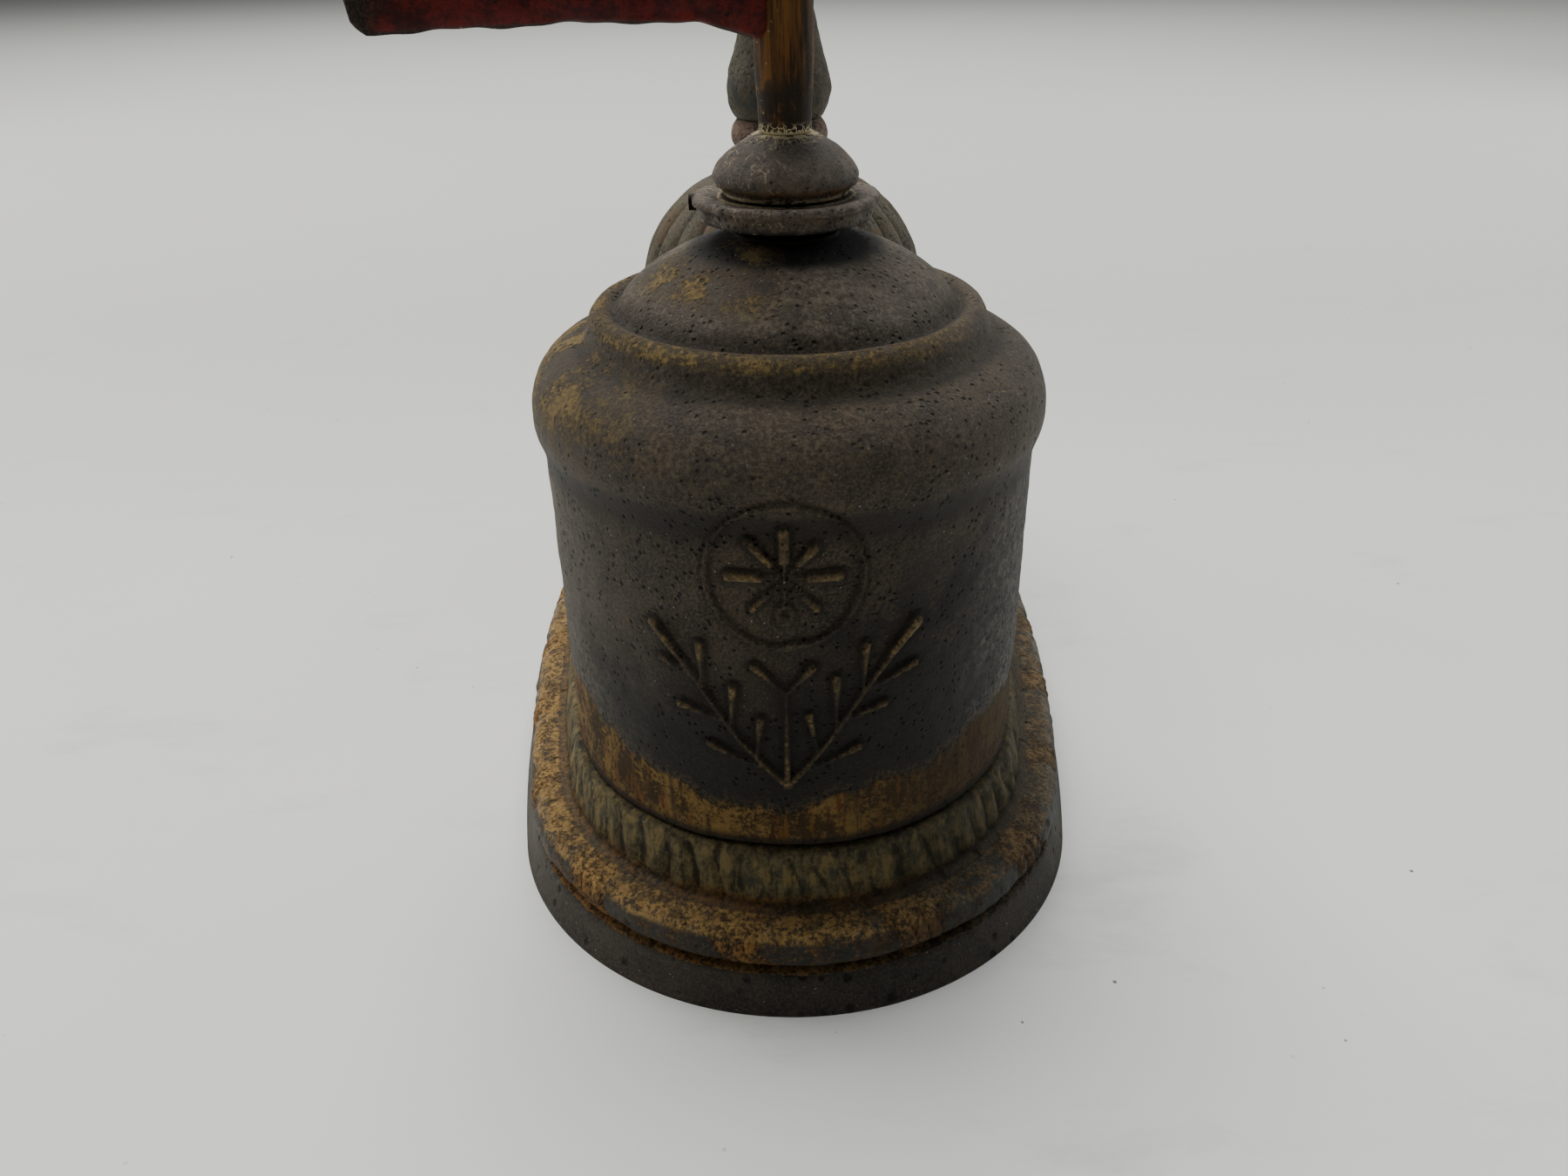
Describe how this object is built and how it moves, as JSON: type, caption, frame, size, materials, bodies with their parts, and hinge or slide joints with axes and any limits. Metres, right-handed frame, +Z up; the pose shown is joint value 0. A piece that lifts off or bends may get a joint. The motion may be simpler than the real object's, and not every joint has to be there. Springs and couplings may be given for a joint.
{
  "type": "fire alarm bell",
  "caption": "Tabletop fire alarm bell: cast-iron bell on an oval moulded base, turning axe post above it and a sprung lever striker in a domed housing behind.",
  "frame": {"origin": "on the bell's axis, on the surface the base stands on", "axes": "+Z up, +Y from the bell towards the striker housing, the axe blade points to -X at rest"},
  "size_m": [0.1347, 0.2448, 0.1898],
  "materials": {
    "base_iron": "rusted, with worn olive and green paint",
    "bell_iron": "pitted dark iron with rust and ochre paint residue",
    "collar_iron": "dark pitted iron",
    "housing_iron": "fluted, worn olive paint",
    "bright_steel": "dull machined",
    "dull_steel": "blackened",
    "brass": "tarnished",
    "leather": "oiled",
    "handle_wood": "worn ochre-brown paint over grain",
    "red_paint": "old red enamel with bare dark edges",
    "grip_paint": "worn olive paint",
    "ferrule_copper": "faded pink-buff paint"
  },
  "bodies": {
    "base": {"base_casting": "base_iron", "bell": "bell_iron", "bell_pillar": "bright_steel", "pillar_washer": "dull_steel", "pillar_nut": "dull_steel", "inner_crown_washer": "leather", "outer_crown_washer": "leather", "bell_clamp_nut": "dull_steel", "thrust_washer": "brass", "striker_housing": "housing_iron", "housing_screws": "dull_steel", "frame_screws": "dull_steel", "striker_frame": "bright_steel", "pivot_pin": "bright_steel", "pivot_clip": "bright_steel", "pivot_spacers": "brass", "front_rod_bush": "brass", "rear_rod_bush": "brass", "return_spring": "bright_steel"},
    "axe_post": {"collar_disc": "collar_iron", "finial_dome": "collar_iron", "collar_set_screw": "dull_steel", "axe_handle": "handle_wood", "axe_head": "red_paint", "eye_rivet": "dull_steel", "handle_wedge": "dull_steel"},
    "lever": {"striker_lever": "bright_steel", "grip_ferrule": "ferrule_copper", "lever_grip": "grip_paint"},
    "rod": {"striker_rod": "bright_steel", "striker_head": "brass", "head_lock_nut": "dull_steel"}
  },
  "joints": [
    {"name": "post_turn", "type": "hinge", "parent": "base", "child": "axe_post", "pos_m": [0, 0, 0.1322], "axis": [0, 0, 1], "continuous": true},
    {"name": "lever_pull", "type": "hinge", "parent": "base", "child": "lever", "pos_m": [0, 0.126, 0.092], "axis": [-1, 0, 0], "range_deg": [0, 12], "stiffness_Nm_per_rad": 0.6, "springref_deg": -8.59},
    {"name": "rod_slide", "type": "slide", "parent": "base", "child": "rod", "axis": [0, -1, 0], "range_m": [0, 0.0063], "deforming": ["return_spring"]}
  ],
  "couplings": [
    {"joint": "rod_slide", "follows": "lever_pull", "m_per_rad": 0.03}
  ]
}
